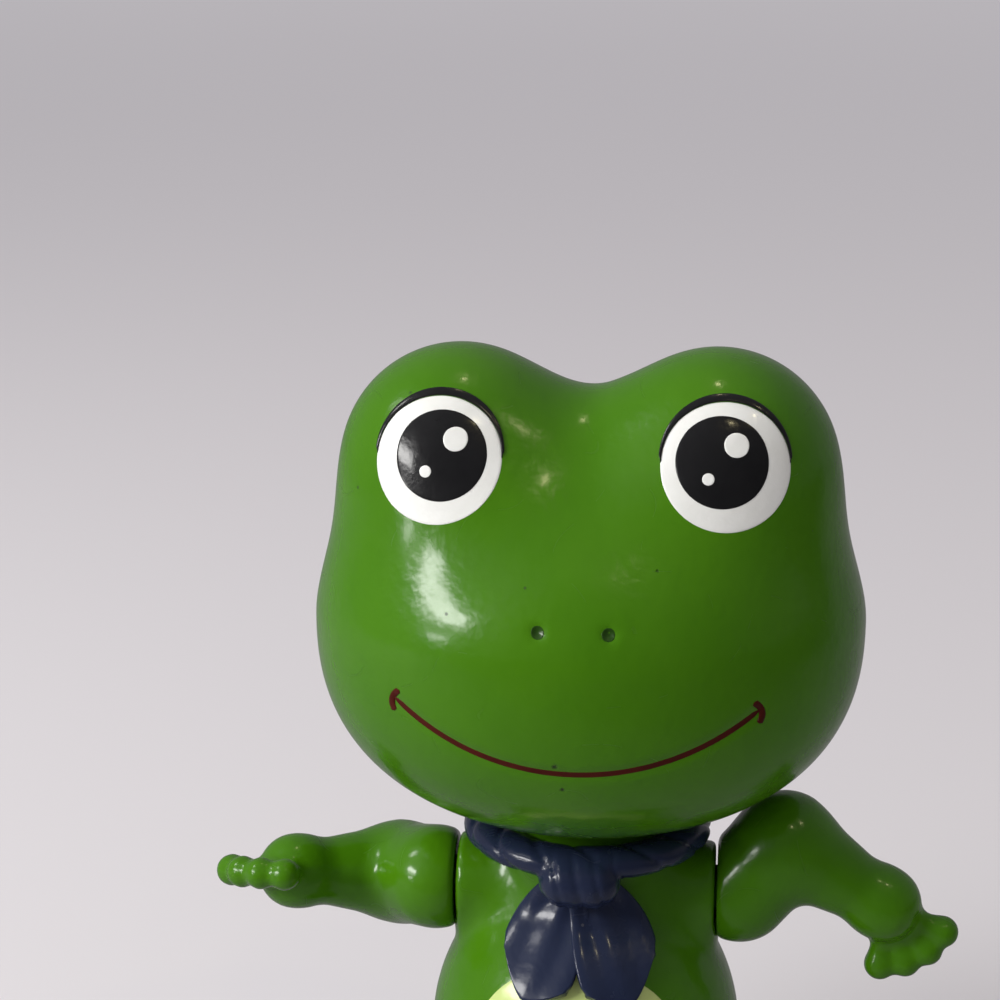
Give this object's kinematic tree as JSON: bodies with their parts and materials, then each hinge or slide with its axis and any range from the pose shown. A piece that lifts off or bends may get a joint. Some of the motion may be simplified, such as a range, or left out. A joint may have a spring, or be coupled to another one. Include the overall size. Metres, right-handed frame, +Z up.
{
  "type": "frog figurine",
  "caption": "Standing soft-vinyl frog with a large round head, painted eyes and smile, a neckerchief, and turning head, arms and legs.",
  "frame": {"origin": "on the floor under the middle of the figure, on the turning axis of the neck", "axes": "+Z up, the face looks along -Y, the frog's own left is +X"},
  "size_m": [0.1222, 0.076, 0.147],
  "materials": {
    "green_vinyl": "glossy soft vinyl, green right through",
    "navy_vinyl": "glossy soft vinyl, navy",
    "white_paint": "sprayed gloss paint",
    "black_paint": "sprayed gloss paint",
    "dark_red_paint": "thin brushed line",
    "dark_green_paint": "small sprayed dots",
    "pale_green_paint": "sprayed gloss paint"
  },
  "bodies": {
    "torso": {"torso": "green_vinyl", "belly_patch": "pale_green_paint", "neckerchief": "navy_vinyl"},
    "head": {"head": "green_vinyl", "left_eye_white": "white_paint", "left_glints": "white_paint", "left_lid_line": "black_paint", "left_pupil": "black_paint", "mouth_line": "dark_red_paint", "nostrils": "dark_green_paint", "right_eye_white": "white_paint", "right_glints": "white_paint", "right_lid_line": "black_paint", "right_pupil": "black_paint"},
    "left_arm": {"left_arm": "green_vinyl"},
    "right_arm": {"right_arm": "green_vinyl"},
    "left_leg": {"left_leg": "green_vinyl"},
    "right_leg": {"right_leg": "green_vinyl"}
  },
  "joints": [
    {"name": "neck_turn", "type": "hinge", "parent": "torso", "child": "head", "pos_m": [0, 0, 0.066], "axis": [0, 0, 1], "continuous": true},
    {"name": "left_shoulder", "type": "hinge", "parent": "torso", "child": "left_arm", "pos_m": [0.0215, 0, 0.0555], "axis": [1, 0, 0], "continuous": true},
    {"name": "right_shoulder", "type": "hinge", "parent": "torso", "child": "right_arm", "pos_m": [-0.0215, 0, 0.0555], "axis": [1, 0, 0], "continuous": true},
    {"name": "left_hip", "type": "hinge", "parent": "torso", "child": "left_leg", "pos_m": [0.013, 0.004, 0.017], "axis": [0, 0, 1], "range_deg": [-12, 60]},
    {"name": "right_hip", "type": "hinge", "parent": "torso", "child": "right_leg", "pos_m": [-0.013, 0.004, 0.017], "axis": [0, 0, -1], "range_deg": [-12, 60]}
  ]
}
